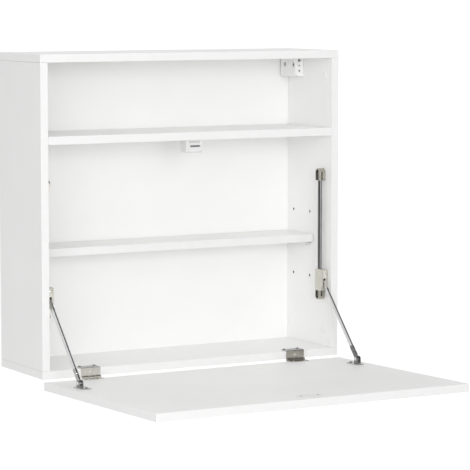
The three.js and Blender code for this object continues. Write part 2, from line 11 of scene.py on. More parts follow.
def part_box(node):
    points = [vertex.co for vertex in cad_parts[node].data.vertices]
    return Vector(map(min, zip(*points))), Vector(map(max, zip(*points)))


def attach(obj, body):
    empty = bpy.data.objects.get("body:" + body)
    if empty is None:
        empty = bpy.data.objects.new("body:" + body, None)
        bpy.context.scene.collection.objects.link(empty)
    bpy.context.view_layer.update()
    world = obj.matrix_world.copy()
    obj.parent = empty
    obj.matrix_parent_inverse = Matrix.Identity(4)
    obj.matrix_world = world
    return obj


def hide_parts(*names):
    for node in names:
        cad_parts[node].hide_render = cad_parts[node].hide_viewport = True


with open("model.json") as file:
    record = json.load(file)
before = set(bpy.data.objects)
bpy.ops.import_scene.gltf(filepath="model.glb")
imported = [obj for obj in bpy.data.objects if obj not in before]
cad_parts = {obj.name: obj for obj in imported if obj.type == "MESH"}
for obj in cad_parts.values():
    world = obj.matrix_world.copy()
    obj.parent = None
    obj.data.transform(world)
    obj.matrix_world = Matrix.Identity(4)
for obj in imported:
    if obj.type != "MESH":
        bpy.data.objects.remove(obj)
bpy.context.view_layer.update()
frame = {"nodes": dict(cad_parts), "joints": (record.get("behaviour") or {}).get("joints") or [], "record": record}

MM = 0.001
SHARP = math.radians(32)
CLEAR = 0.3 * MM
X, Y, Z = Vector((1, 0, 0)), Vector((0, 1, 0)), Vector((0, 0, 1))
SIDES = {"left": -1, "right": 1}
# The same parts get a lighter finish on the left and a darker one on the right, as painted light and painted shade
# for the brighter and darker parts of the studio where they stand.
NICKEL_LIT_AND_SHADED = {"left": "nickel", "right": "shaded_nickel"}
SLEEVE_LIT_AND_SHADED = {"left": "steel", "right": "dark_steel"}

# ---------- camera, lights and floor

AIM = Vector((0.032, -0.286, -0.332))
CAMERA_AZIMUTH = -29.44
CAMERA_ELEVATION = 5.79
CAMERA_DISTANCE = 4.55
CAMERA_LENS = 186.2
CAMERA_SENSOR = 36
CAMERA_RANGE = 200
FLOOR_LEVEL = -1.35
FLOOR_RADIUS = 2.55
FLOOR_WHITE = 0.93
FLOOR_ROUGHNESS = 0.9
FLOOR_GLOW = 0.08
BACKDROP = 1.1
GAMMA = 1.2

# The studio's brightness by azimuth in degrees: as it lights the desk, and as polished metal
# mirrors it in low and in high directions. The step goes from low to high by elevation.
AMBIENT = [(-180, 0.42), (-75, 0.42), (-25, 0.48), (0, 0.6), (20, 0.5), (40, 0.35), (180, 0.35)]
MIRRORED_LOW = [
    (-180, 0.75), (-100, 0.75), (-92, 0.02), (-24, 0.02), (-20, 3.5), (6, 3.5), (12, 1.2),
    (27.5, 1.2), (29.5, 0.1), (52, 0.1), (60, 0.7), (180, 0.75),
]
MIRRORED_HIGH = [(-180, 0.75), (-30, 0.9), (-12, 0.03), (95, 0.03), (110, 0.75), (180, 0.75)]
MIRRORED_STEP = [(-90, 0), (18, 0), (28, 1), (90, 1)]

# Azimuth and elevation, distance, size, power, and whether polished metal mirrors the lamp.
SOFTBOXES = {
    "near_left": (-45, 15, 3.2, 2.0, 30, False),
    "far_front": (-15, 8, 8.0, 2.5, 200, True),
    "overhead": (35, 72, 3.2, 2.4, 23, False),
    "behind": (180, 50, 8.0, 3.0, 85, True),
}


def direction(azimuth, elevation):
    """From the desk towards that side: azimuth 0 is in front of it, 90 to its right."""
    a = math.radians(azimuth)
    e = math.radians(elevation)
    return Vector((math.sin(a) * math.cos(e), -math.cos(a) * math.cos(e), math.sin(e)))


def placed(name, data):
    """A new object in the scene."""
    obj = bpy.data.objects.new(name, data)
    bpy.context.scene.collection.objects.link(obj)
    return obj


def meshed(name, bm):
    """A new mesh of a solid, which is used up."""
    mesh = bpy.data.meshes.new(name)
    bm.to_mesh(mesh)
    bm.free()
    return mesh


def aimed(obj, towards, distance):
    """Puts an object at a distance from the aim, looking back at it."""
    obj.location = AIM + towards * distance
    obj.rotation_euler = (-towards).to_track_quat("-Z", "Y").to_euler()
    return obj


def make_camera():
    """The camera of the main view."""
    data = bpy.data.cameras.new("camera")
    data.sensor_width = CAMERA_SENSOR
    data.lens = CAMERA_LENS
    data.clip_end = CAMERA_RANGE
    back = direction(CAMERA_AZIMUTH, CAMERA_ELEVATION)
    bpy.context.scene.camera = aimed(placed("camera", data), back, CAMERA_DISTANCE)


def make_softbox(name, azimuth, elevation, distance, size, power, mirrored):
    """A square lamp that shines on the desk."""
    data = bpy.data.lights.new(name, "AREA")
    data.size = size
    data.energy = power
    box = aimed(placed(name, data), direction(azimuth, elevation), distance)
    box.visible_glossy = mirrored


def make_world():
    """A white backdrop, a soft sky, and bright and dark screens that only reflections show."""
    world = bpy.data.worlds.new("studio")
    world.use_nodes = True
    bpy.context.scene.world = world
    tree = world.node_tree
    tree.nodes.clear()
    link = tree.links.new
    place = tree.nodes.new("ShaderNodeTexCoord")
    axes = tree.nodes.new("ShaderNodeSeparateXYZ")
    link(place.outputs["Generated"], axes.inputs[0])

    def angle(operation, *sockets):
        """The angle that the operation gives, in degrees."""
        node = tree.nodes.new("ShaderNodeMath")
        node.operation = operation
        for source, target in zip(sockets, node.inputs):
            link(source, target)
        degrees = tree.nodes.new("ShaderNodeMath")
        degrees.operation = "DEGREES"
        link(node.outputs[0], degrees.inputs[0])
        return degrees.outputs[0]

    def graded(source, greys):
        """A grey that follows an angle."""
        first, last = greys[0][0], greys[-1][0]
        share = tree.nodes.new("ShaderNodeMapRange")
        share.inputs["From Min"].default_value = first
        share.inputs["From Max"].default_value = last
        link(source, share.inputs["Value"])
        ramp = tree.nodes.new("ShaderNodeValToRGB")
        stops = ramp.color_ramp.elements
        for degrees, _ in greys[1:-1]:
            stops.new((degrees - first) / (last - first))
        for stop, (_, grey) in zip(stops, greys):
            stop.color = (grey, grey, grey, 1)
        link(share.outputs["Result"], ramp.inputs["Fac"])
        return ramp.outputs["Color"]

    def sky(grey):
        """A background of that grey."""
        glow = tree.nodes.new("ShaderNodeBackground")
        link(grey, glow.inputs["Color"])
        return glow

    def choose(share, otherwise, chosen):
        """A mix of two backgrounds by a share from 0 to 1."""
        mix = tree.nodes.new("ShaderNodeMixShader")
        for source, target in zip((share, otherwise.outputs[0], chosen.outputs[0]), mix.inputs):
            link(source, target)
        return mix

    front = tree.nodes.new("ShaderNodeMath")
    front.operation = "MULTIPLY"
    front.inputs[1].default_value = -1
    link(axes.outputs["Y"], front.inputs[0])
    azimuth = angle("ARCTAN2", axes.outputs["X"], front.outputs[0])
    elevation = angle("ARCSINE", axes.outputs["Z"])
    lighting = sky(graded(azimuth, AMBIENT))
    reflection = choose(
        graded(elevation, MIRRORED_STEP),
        sky(graded(azimuth, MIRRORED_LOW)),
        sky(graded(azimuth, MIRRORED_HIGH)),
    )
    path = tree.nodes.new("ShaderNodeLightPath")
    backdrop = tree.nodes.new("ShaderNodeBackground")
    backdrop.inputs["Color"].default_value = (1, 1, 1, 1)
    backdrop.inputs["Strength"].default_value = BACKDROP
    unseen = choose(path.outputs["Is Glossy Ray"], lighting, reflection)
    seen = choose(path.outputs["Is Camera Ray"], unseen, backdrop)
    link(seen.outputs[0], tree.nodes.new("ShaderNodeOutputWorld").inputs["Surface"])


def make_floor():
    """A round white studio floor, well below the desk, which hangs on a wall."""
    bm = bmesh.new()
    bmesh.ops.create_circle(bm, cap_ends=True, segments=128, radius=FLOOR_RADIUS)
    floor = placed("floor", meshed("floor", bm))
    floor.location.z = FLOOR_LEVEL
    paint = bpy.data.materials.new("floor_paint")
    paint.use_nodes = True
    shader = paint.node_tree.nodes["Principled BSDF"]
    shader.inputs["Base Color"].default_value = (FLOOR_WHITE, FLOOR_WHITE, FLOOR_WHITE, 1)
    shader.inputs["Roughness"].default_value = FLOOR_ROUGHNESS
    shader.inputs["Emission Color"].default_value = (1, 1, 1, 1)
    shader.inputs["Emission Strength"].default_value = FLOOR_GLOW
    # The floor is see-through from below, so that it never hides the desk's underside.
    tree = paint.node_tree
    side = tree.nodes.new("ShaderNodeNewGeometry")
    clear = tree.nodes.new("ShaderNodeBsdfTransparent")
    mix = tree.nodes.new("ShaderNodeMixShader")
    sources = (side.outputs["Backfacing"], shader.outputs[0], clear.outputs[0])
    for source, target in zip(sources, mix.inputs):
        tree.links.new(source, target)
    tree.links.new(mix.outputs[0], tree.nodes["Material Output"].inputs["Surface"])
    floor.data.materials.append(paint)


bpy.context.scene.view_settings.view_transform = "Standard"
bpy.context.scene.view_settings.gamma = GAMMA
make_camera()
make_world()
make_floor()
for box_name, settings in SOFTBOXES.items():
    make_softbox(box_name, *settings)

# ---------- materials

# The part of a noise's range that holds nearly all of it.
NOISE_RANGE = (0.3, 0.7)
# Sockets of the Mix node: its two numbers, its two colours and the mixed colour.
MIX_NUMBERS = (2, 3)
MIX_COLOURS = (6, 7)
MIXED_COLOUR = 2

MELAMINE = ((0.898, 0.898, 0.89), (0.918, 0.918, 0.911))
CHIPS = ((0.36, 0.25, 0.15), (0.62, 0.49, 0.33))
CHIPS_PER_METRE = 620
CHIP_ROUGHNESS = 0.9
# How far a face looks to the wall where it starts to be bare, and where it is fully bare.
WALLWARD = (0.75, 0.95)
MELAMINE_ROUGHNESS = (0.36, 0.46)
MELAMINE_RELIEF = 0.02 * MM


class Recipe:
    """A Principled material; colour, gloss and relief come from noise in the object's own space."""

    def __init__(self, name, metallic=0.0):
        self.material = bpy.data.materials.new(name)
        self.material.use_nodes = True
        self.tree = self.material.node_tree
        self.shader = self.tree.nodes["Principled BSDF"]
        self.shader.inputs["Metallic"].default_value = metallic
        self.place = self.node("ShaderNodeTexCoord")

    def node(self, kind, **settings):
        made = self.tree.nodes.new(kind)
        for key, value in settings.items():
            setattr(made, key, value)
        return made

    def link(self, source, target):
        self.tree.links.new(source, target)

    def noise(self, scale, detail=3.0):
        texture = self.node("ShaderNodeTexNoise")
        texture.inputs["Scale"].default_value = scale
        texture.inputs["Detail"].default_value = detail
        self.link(self.place.outputs["Object"], texture.inputs["Vector"])
        return texture.outputs["Fac"]

    def spread(self, source, low, high):
        """The noise's middle range stretched over the values low to high."""
        spread = self.node("ShaderNodeMapRange")
        spread.inputs["From Min"].default_value = NOISE_RANGE[0]
        spread.inputs["From Max"].default_value = NOISE_RANGE[1]
        spread.inputs["To Min"].default_value = low
        spread.inputs["To Max"].default_value = high
        self.link(source, spread.inputs["Value"])
        return spread.outputs["Result"]

    def blend(self, factor, first, second):
        """A colour between two others, which are colours or sockets."""
        mix = self.node("ShaderNodeMix", data_type="RGBA")
        self.link(factor, mix.inputs["Factor"])
        for number, colour in zip(MIX_COLOURS, (first, second)):
            if isinstance(colour, tuple):
                mix.inputs[number].default_value = (*colour, 1)
            else:
                self.link(colour, mix.inputs[number])
        return mix.outputs[MIXED_COLOUR]

    def relief(self, height, depth):
        bump = self.node("ShaderNodeBump")
        bump.inputs["Strength"].default_value = 1
        bump.inputs["Distance"].default_value = depth
        self.link(height, bump.inputs["Height"])
        self.link(bump.outputs["Normal"], self.shader.inputs["Normal"])

    def colour(self, source):
        self.link(source, self.shader.inputs["Base Color"])

    def roughness(self, source):
        self.link(source, self.shader.inputs["Roughness"])


def surface(name, colours, rough, metallic=0.0, mottle=60, grain=900, depth=0.01):
    """Mottled colour, uneven gloss and a fine grain whose depth is in millimetres."""
    recipe = Recipe(name, metallic)
    recipe.colour(recipe.blend(recipe.spread(recipe.noise(mottle), 0, 1), *colours))
    recipe.roughness(recipe.spread(recipe.noise(mottle * 4), *rough))
    recipe.relief(recipe.noise(grain, detail=4.0), depth * MM)
    return recipe.material


def board_surface():
    """White melamine with an orange-peel relief, and bare chipboard on edges that face the wall."""
    recipe = Recipe("white_melamine")
    facing = recipe.node("ShaderNodeSeparateXYZ")
    recipe.link(recipe.place.outputs["Normal"], facing.inputs[0])
    to_wall = recipe.node("ShaderNodeMapRange", interpolation_type="SMOOTHSTEP")
    to_wall.inputs["From Min"].default_value = WALLWARD[0]
    to_wall.inputs["From Max"].default_value = WALLWARD[1]
    recipe.link(facing.outputs["Y"], to_wall.inputs["Value"])
    bare = to_wall.outputs["Result"]
    white = recipe.blend(recipe.spread(recipe.noise(9), 0, 1), *MELAMINE)
    chips = recipe.node("ShaderNodeTexVoronoi")
    chips.inputs["Scale"].default_value = CHIPS_PER_METRE
    recipe.link(recipe.place.outputs["Object"], chips.inputs["Vector"])
    grey_chips = recipe.node("ShaderNodeSeparateXYZ")
    recipe.link(chips.outputs["Color"], grey_chips.inputs[0])
    chipboard = recipe.blend(grey_chips.outputs["X"], *CHIPS)
    recipe.colour(recipe.blend(bare, white, chipboard))
    gloss = recipe.spread(recipe.noise(35), *MELAMINE_ROUGHNESS)
    rough = recipe.node("ShaderNodeMix")
    recipe.link(bare, rough.inputs["Factor"])
    recipe.link(gloss, rough.inputs[MIX_NUMBERS[0]])
    rough.inputs[MIX_NUMBERS[1]].default_value = CHIP_ROUGHNESS
    recipe.roughness(rough.outputs[0])
    recipe.relief(recipe.noise(700, detail=2.0), MELAMINE_RELIEF)
    return recipe.material


# Two colours to mottle between, the roughness range, metallic, and what differs from the defaults.
FINISHES = {
    "white_board": board_surface(),
    "edge_band": surface(
        "white_edge_band", ((0.82, 0.82, 0.815), (0.84, 0.84, 0.835)), (0.3, 0.38), grain=500),
    "white_back": surface(
        "lacquered_hardboard", ((0.9, 0.9, 0.892), (0.92, 0.92, 0.912)), (0.48, 0.6), mottle=12),
    "dull_plastic": surface(
        "dull_plastic", ((0.7, 0.7, 0.695), (0.75, 0.75, 0.745)), (0.35, 0.45), grain=1400),
    # Grey plastic for the insert in the catch's pocket: painted shade.
    "pocket_shade_plastic": surface(
        "pocket_shade_plastic", ((0.5, 0.5, 0.5), (0.56, 0.56, 0.56)), (0.35, 0.45), grain=1400),
    "white_plastic": surface(
        "moulded_plastic", ((0.87, 0.87, 0.862), (0.9, 0.9, 0.892)), (0.3, 0.4), grain=1400),
    "nickel": surface(
        "nickel_plate", ((0.66, 0.64, 0.58), (0.76, 0.74, 0.68)), (0.13, 0.22), 1.0,
        mottle=150, depth=0.003),
    # A darker copy of the nickel for the right-hand parts: painted shade.
    "shaded_nickel": surface(
        "shaded_nickel_plate", ((0.36, 0.345, 0.3), (0.48, 0.46, 0.4)), (0.16, 0.26), 1.0,
        mottle=150, depth=0.003),
    "pale_steel": surface(
        "pale_steel", ((0.8, 0.8, 0.795), (0.87, 0.87, 0.865)), (0.4, 0.5), 0.35, mottle=200),
    "chrome": surface(
        "chrome_plate", ((0.72, 0.72, 0.73), (0.78, 0.78, 0.79)), (0.06, 0.12), 1.0, depth=0.002),
    "dark_chrome": surface(
        "dark_chrome", ((0.11, 0.11, 0.113), (0.15, 0.15, 0.153)), (0.04, 0.08), 1.0, depth=0.002),
    "steel": surface(
        "plated_steel", ((0.42, 0.42, 0.42), (0.52, 0.52, 0.52)), (0.12, 0.2), 1.0,
        mottle=150, depth=0.003),
    # Near-black plastic for the liner in the slider's slot: painted shade.
    "slot_shade_plastic": surface(
        "slot_shade_plastic", ((0.025, 0.025, 0.025), (0.04, 0.04, 0.04)), (0.5, 0.6), grain=1400),
    "dark_steel": surface(
        "dark_steel", ((0.16, 0.16, 0.163), (0.24, 0.24, 0.243)), (0.22, 0.34), 0.9, mottle=200),
    "zinc": surface(
        "cast_zinc", ((0.57, 0.555, 0.49), (0.65, 0.635, 0.565)), (0.4, 0.55), 0.6,
        mottle=120, depth=0.03),
    # Raw chipboard darkened far below its own brown for the empty shelf-pin holes: partly the chipboard's colour,
    # partly painted shade.
    "chipboard_with_hole_shade": surface(
        "chipboard_with_hole_shade", ((0.07, 0.06, 0.05), (0.16, 0.135, 0.11)), (0.8, 0.95),
        mottle=900, depth=0.2),
    "bright_steel": surface(
        "bright_steel", ((0.76, 0.76, 0.765), (0.86, 0.86, 0.865)), (0.2, 0.34), 1.0, mottle=150),
}

for subpart in frame["record"]["subparts"]:
    node = frame["nodes"][subpart["node"]]
    node.data.materials.clear()
    node.data.materials.append(FINISHES[subpart["material_slot"]])

# ---------- mesh tools

SAME_POINT = 1e-6
WELD_REACH = 1e-5

PLACES = {
    "X": lambda s, a, b: (s, a, b),
    "Y": lambda s, a, b: (a, s, b),
    "Z": lambda s, a, b: (a, b, s),
}


def filleted(corners, steps=5):
    """An outline through corners given as (a, b, radius), each rounded to its radius."""
    outline = []
    for index, (a, b, radius) in enumerate(corners):
        here = Vector((a, b))
        if not radius:
            outline.append(here)
            continue
        back = (Vector(corners[index - 1][:2]) - here).normalized()
        on = (Vector(corners[(index + 1) % len(corners)][:2]) - here).normalized()
        half = back.angle(on) / 2
        centre = here + (back + on).normalized() * radius / math.sin(half)
        start = here + back * radius / math.tan(half) - centre
        end = here + on * radius / math.tan(half) - centre
        begin = math.atan2(start.y, start.x)
        sweep = (math.atan2(end.y, end.x) - begin + math.pi) % math.tau - math.pi
        for step in range(steps + 1):
            angle = begin + sweep * step / steps
            outline.append(centre + radius * Vector((math.cos(angle), math.sin(angle))))
    return outline


def rounded(a0, a1, b0, b1, radius, steps=5):
    """A rectangle with four round corners."""
    return filleted([(a0, b0, radius), (a1, b0, radius), (a1, b1, radius), (a0, b1, radius)], steps)


def skinned(rings):
    """A closed solid through rings of points; a ring of one point is a tip."""
    bm = bmesh.new()
    loops = [[bm.verts.new(point) for point in ring] for ring in rings]
    for first, second in zip(loops, loops[1:]):
        count = max(len(first), len(second))
        for index in range(count):
            corners = [
                first[index % len(first)],
                first[(index + 1) % len(first)],
                second[(index + 1) % len(second)],
                second[index % len(second)],
            ]
            bm.faces.new(list(dict.fromkeys(corners)))
    for loop in (loops[0], loops[-1]):
        if len(loop) > 1:
            bm.faces.new(loop)
    bmesh.ops.recalc_face_normals(bm, faces=bm.faces[:])
    return bm


def extruded(outline, start, end, axis):
    """A solid of one outline between two stations on an axis."""
    place = PLACES[axis]
    return skinned([[place(station, a, b) for a, b in outline] for station in (start, end)])


def looking(at, along):
    """A placement whose Z axis runs along a direction from a point."""
    return Matrix.Translation(at) @ Z.rotation_difference(along).to_matrix().to_4x4()


def turned(profile, origin, along, sides=40):
    """A solid turned round an axis; its profile is (station, radius) pairs."""
    place = looking(origin, along)
    rings = []
    for station, radius in profile:
        count = sides if radius else 1
        angles = [math.tau * index / count for index in range(count)]
        rings.append([
            place @ Vector((radius * math.cos(a), radius * math.sin(a), station)) for a in angles])
    return skinned(rings)


def pin_profile(length, radius, chamfer):
    """A round pin with chamfered ends."""
    return [(0, 0), (0, radius - chamfer), (chamfer, radius), (length - chamfer, radius),
            (length, radius - chamfer), (length, 0)]


def drill(radius, start, end, sides=32):
    """A round cutting tool between two points."""
    length = (end - start).length
    profile = [(0, 0), (0, radius), (length, radius), (length, 0)]
    return turned(profile, start, (end - start).normalized(), sides)


def combined(operation, body, *tools):
    """The Boolean of several solids, which are used up."""
    made = [placed("scratch", meshed("scratch", bm)) for bm in (body, *tools)]
    for tool in made[1:]:
        modifier = made[0].modifiers.new("combine", "BOOLEAN")
        modifier.operation = operation
        modifier.solver = "EXACT"
        modifier.object = tool
    result = bmesh.new()
    result.from_object(made[0], bpy.context.evaluated_depsgraph_get())
    for scratch in made:
        bpy.data.meshes.remove(scratch.data)
    bmesh.ops.remove_doubles(result, verts=result.verts[:], dist=SAME_POINT)
    return result


def carved(body, *tools):
    return combined("DIFFERENCE", body, *tools)


def joined(body, *others):
    return combined("UNION", body, *others)


def soften(piece, radius, segments=3):
    """Rounds the sharp edges and evens out the shading of the flat faces."""
    weld = piece.modifiers.new("weld", "WELD")
    weld.merge_threshold = WELD_REACH
    bevel = piece.modifiers.new("bevel", "BEVEL")
    bevel.width = radius
    bevel.segments = segments
    bevel.limit_method = "ANGLE"
    bevel.angle_limit = SHARP
    even = piece.modifiers.new("even", "WEIGHTED_NORMAL")
    even.keep_sharp = True


def publish(name, bm, body, slot, replaces=(), place=None, soft=0.0, finish=None):
    """A finished piece on its body, standing for the CAD nodes that it replaces; its faces look out."""
    if place:
        bm.transform(place)
    bmesh.ops.recalc_face_normals(bm, faces=bm.faces[:])
    if bm.calc_volume(signed=True) < 0:
        bmesh.ops.reverse_faces(bm, faces=bm.faces[:])
    mesh = meshed(name, bm)
    mesh.shade_smooth()
    mesh.materials.append(FINISHES[finish or slot])
    piece = placed(name, mesh)
    if soft:
        soften(piece, soft)
    else:
        mesh.set_sharp_from_angle(angle=SHARP)
    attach(piece, body)
    if replaces:
        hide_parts(*replaces)
    return piece


def box_in(node, place):
    """The corners of a CAD node's box in the axes of `place`."""
    inverse = place.inverted()
    points = [inverse @ vertex.co for vertex in frame["nodes"][node].data.vertices]
    low = Vector([min(point[axis] for point in points) for axis in range(3)])
    high = Vector([max(point[axis] for point in points) for axis in range(3)])
    return low, high


# ---------- screws

RECESS_SHAPE = [(1, 0.18), (0.18, 0.18), (0.18, 1)]
RECESS_TAPER = [(0, 1), (0.6, 0.75), (1, 0.25)]
RECESS_START = 0.1
RECESS_DEPTH = 0.5
RECESS_REACH = 0.62
SPIN_PER_METRE = 900


def cross_recess(top, depth, reach):
    """A tapering cross, as the tool that cuts a screw's drive."""
    quarter = [Vector((a, b)) for a, b in RECESS_SHAPE]
    cross = [Matrix.Rotation(math.pi / 2 * turn, 2) @ point for turn in range(4) for point in quarter]
    rings = [(top - depth * down, reach * share) for down, share in RECESS_TAPER]
    return skinned([[(reach_at * x, reach_at * y, z) for x, y in cross] for z, reach_at in rings])


def screw_head(profile, top):
    """A turned head with a cross recess, as a mesh to copy."""
    recess = cross_recess(top + RECESS_START, RECESS_DEPTH, RECESS_REACH)
    return meshed("screw_head", carved(turned(profile, Vector(), Z, 36), recess))


# Heads of radius 1 on the plane z = 0, looking up.
HEADS = {
    "pan": screw_head([
        (-0.3, 0), (-0.3, 0.5), (0, 0.5), (0, 0.97), (0.05, 1), (0.22, 1), (0.4, 0.93), (0.53, 0.75),
        (0.6, 0.4), (0.62, 0),
    ], 0.62),
    "countersunk": screw_head([
        (-0.5, 0), (-0.5, 0.45), (-0.02, 0.93), (0.03, 0.95), (0.06, 0.9), (0.09, 0.5), (0.1, 0),
    ], 0.1),
}


def screw(name, kind, at, outward, radius, body, slot="dark_steel", place=None):
    """A screw head on a face, turned by an angle that its place gives, as when driven by hand."""
    bm = bmesh.new()
    bm.from_mesh(HEADS[kind])
    spin = Matrix.Rotation((at.x + at.y + at.z) * SPIN_PER_METRE, 4, "Z")
    bm.transform(looking(at, outward) @ spin @ Matrix.Scale(radius, 4))
    publish(name, bm, body, slot, place=place)


# ---------- places from the frame

JOINTS = {joint["name"]: joint for joint in frame["joints"]}
HINGE_AXIS = Vector(JOINTS["flap_hinge"]["pos_m"])
UNDERSIDE = next(mount for mount in frame["record"]["mounts"] if mount["name"] == "flap_underside")
FLAP_TILT = math.atan2(UNDERSIDE["axis"][1], -UNDERSIDE["axis"][2])
# The flap's own axes: from the hinge axis, X along it and -Y to the flap's free edge.
FLAP = Matrix.Translation(HINGE_AXIS) @ Matrix.Rotation(FLAP_TILT, 4, "X")
FLOOR_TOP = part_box("bottom_panel")[1].z
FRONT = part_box("left_side_panel")[0].y
INNER_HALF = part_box("right_side_panel")[0].x
FLAP_LOW, FLAP_HIGH = box_in("flap_panel", FLAP)

# ---------- boards

BAND = 0.9 * MM
BAND_PROUD = 0.12 * MM
BAND_OVERLAP = 0.03 * MM
BAND_SOFT = 0.35 * MM
BOARD_SOFT = 0.3 * MM
BOARDS = (
    "top_panel", "bottom_panel", "left_side_panel", "right_side_panel", "fixed_shelf", "loose_shelf")


def slab(low, high):
    """A plain box between two corners."""
    outline = [(low.x, low.y), (high.x, low.y), (high.x, high.y), (low.x, high.y)]
    return extruded(outline, low.z, high.z, "Z")


def edge_band(name, low, high, side, body, place=None, finish="edge_band"):
    """A strip glued over one edge of a board; side is (axis, 0 or 1) for the low or high edge."""
    axis, end = side
    low = low - BAND_OVERLAP * Vector((1, 1, 1))
    high = high + BAND_OVERLAP * Vector((1, 1, 1))
    if end == 0:
        low[axis] += BAND_OVERLAP - BAND_PROUD
        high[axis] = low[axis] + BAND
    else:
        high[axis] += BAND_PROUD - BAND_OVERLAP
        low[axis] = high[axis] - BAND
    publish(name, slab(low, high), body, "white_board", place=place, soft=BAND_SOFT, finish=finish)


for board in BOARDS:
    soften(frame["nodes"][board], BOARD_SOFT, 2)
    edge_band(f"{board}_edge_band", *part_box(board), (1, 0), "cabinet")
soften(frame["nodes"]["flap_panel"], BOARD_SOFT, 2)
for edge, place in {"front": (1, 0), "rear": (1, 1), "left": (0, 0), "right": (0, 1)}.items():
    # The flap's left and right edges get the lighter board finish instead of the edge band: painted light on those
    # sides.
    band = "edge_band" if edge in ("front", "rear") else "white_board"
    edge_band(f"flap_{edge}_edge_band", FLAP_LOW, FLAP_HIGH, place, "flap", FLAP, band)

# ---------- hinges

LEAF = 1.2 * MM
LEAF_SOFT = 0.18 * MM
LEAF_CORNER = 4 * MM
LEAF_BEND = 1.5 * MM
LEAF_INNER_BEND = 0.35 * MM
TONGUE_INSET = 0.8 * MM
KNUCKLE = 3.2 * MM
KNUCKLE_CHAMFER = 0.3 * MM
PIN = 1.6 * MM
PIN_CHAMFER = 0.5 * MM
PIN_BORE = 1.9 * MM
FLOOR_SCREW = 2.9 * MM
FLOOR_SCREW_SPREAD = 15 * MM
FLOOR_SCREW_SET_IN = 15.5 * MM
FACE_SCREW = 3.1 * MM
FLAP_SCREW = 2.9 * MM
FLAP_SCREW_SPREAD = 12 * MM
FLAP_SCREW_SET_IN = 7 * MM


def darken_faces(piece, chosen):
    """Gives dark steel to the faces of a piece that the test picks; on a hinge's flange it is painted shade."""
    piece.data.materials.append(FINISHES["dark_steel"])
    for face in piece.data.polygons:
        if chosen(face):
            face.material_index = 1


def knuckle(start, end, at):
    """A rolled barrel, still to be bored."""
    return turned(pin_profile(end - start, KNUCKLE, KNUCKLE_CHAMFER), at + X * start, X)


def cabinet_leaf(side):
    """An angle leaf: a flange on the cabinet floor, a face over its front edge and two barrels."""
    node = f"{side}_hinge_cabinet_leaf"
    low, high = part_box(node)
    front = FRONT - CLEAR - LEAF
    middle = (low.x + high.x) / 2
    sixth = (high.x - low.x) / 6
    profile = filleted([
        (high.y, high.z, 0), (front, high.z, LEAF_BEND), (front, HINGE_AXIS.z, 0),
        (front + LEAF, HINGE_AXIS.z, 0), (front + LEAF, high.z - LEAF, LEAF_INNER_BEND),
        (high.y, high.z - LEAF, 0),
    ])
    plan = filleted([
        (low.x, low.y - MM, 0), (high.x, low.y - MM, 0), (high.x, high.y, LEAF_CORNER),
        (low.x, high.y, LEAF_CORNER),
    ])
    sheet = combined(
        "INTERSECT",
        extruded(profile, low.x, high.x, "X"),
        extruded(plan, low.z - MM, high.z + MM, "Z"),
    )
    axis = Vector((0, HINGE_AXIS.y, HINGE_AXIS.z))
    gap = (middle - sixth - CLEAR, middle + sixth + CLEAR)
    barrels = [knuckle(middle - 3 * sixth, gap[0], axis), knuckle(gap[1], middle + 3 * sixth, axis)]
    leaf = carved(
        joined(sheet, *barrels),
        drill(KNUCKLE + CLEAR, axis + X * gap[0], axis + X * gap[1]),
        drill(PIN_BORE, axis + X * (low.x - MM), axis + X * (high.x + MM)),
    )
    piece = publish(
        f"{side}_hinge_angle_leaf", leaf, "cabinet", "nickel", [node], soft=LEAF_SOFT,
        finish=NICKEL_LIT_AND_SHADED[side])
    # The flange's top face gets dark steel as painted shade: the dark line that the flange shows on the cabinet
    # floor.
    darken_faces(piece, lambda face: face.normal.z > 0.9 and face.center.z > high.z - LEAF / 2)
    for number, sign in enumerate((-1, 1), 1):
        at = Vector((middle + sign * FLOOR_SCREW_SPREAD, FRONT + FLOOR_SCREW_SET_IN, high.z))
        screw(f"{side}_hinge_floor_screw_{number}", "pan", at, Z, FLOOR_SCREW, "cabinet")
    at = Vector((middle, front, (FLOOR_TOP + HINGE_AXIS.z) / 2 + MM))
    screw(f"{side}_hinge_face_screw", "countersunk", at, -Y, FACE_SCREW, "cabinet", "zinc")


def flap_leaf(side):
    """A flat leaf on the flap with the middle barrel."""
    node = f"{side}_hinge_flap_leaf"
    low, high = box_in(node, FLAP)
    middle = (low.x + high.x) / 2
    sixth = (high.x - low.x) / 6
    shoulder = -(KNUCKLE + 2 * CLEAR)
    sheet_low = FLAP_HIGH.z + CLEAR
    tongue = sixth - TONGUE_INSET
    outline = filleted([
        (low.x, low.y, LEAF_CORNER), (high.x, low.y, LEAF_CORNER), (high.x, shoulder, 0.8 * MM),
        (middle + tongue, shoulder, 0), (middle + tongue, 0, 0), (middle - tongue, 0, 0),
        (middle - tongue, shoulder, 0), (low.x, shoulder, 0.8 * MM),
    ])
    sheet = extruded(outline, sheet_low, sheet_low + LEAF, "Z")
    barrel = knuckle(middle - sixth, middle + sixth, Vector())
    leaf = carved(joined(sheet, barrel), drill(PIN_BORE, X * (low.x - MM), X * (high.x + MM)))
    publish(f"{side}_hinge_flat_leaf", leaf, "flap", "nickel", [node], FLAP, LEAF_SOFT, NICKEL_LIT_AND_SHADED[side])
    for number, sign in enumerate((-1, 1), 1):
        at = Vector((middle + sign * FLAP_SCREW_SPREAD, low.y + FLAP_SCREW_SET_IN, sheet_low + LEAF))
        screw(f"{side}_hinge_flap_screw_{number}", "countersunk", at, Z, FLAP_SCREW, "flap",
              "bright_steel", FLAP)


def hinge_pin(side):
    """The straight pin through both leaves' barrels."""
    node = f"{side}_hinge_pin"
    low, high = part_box(node)
    start = Vector((low.x, HINGE_AXIS.y, HINGE_AXIS.z))
    pin = turned(pin_profile(high.x - low.x, PIN, PIN_CHAMFER), start, X)
    publish(f"{side}_hinge_rod", pin, "cabinet", "bright_steel", [node])


# ---------- stays

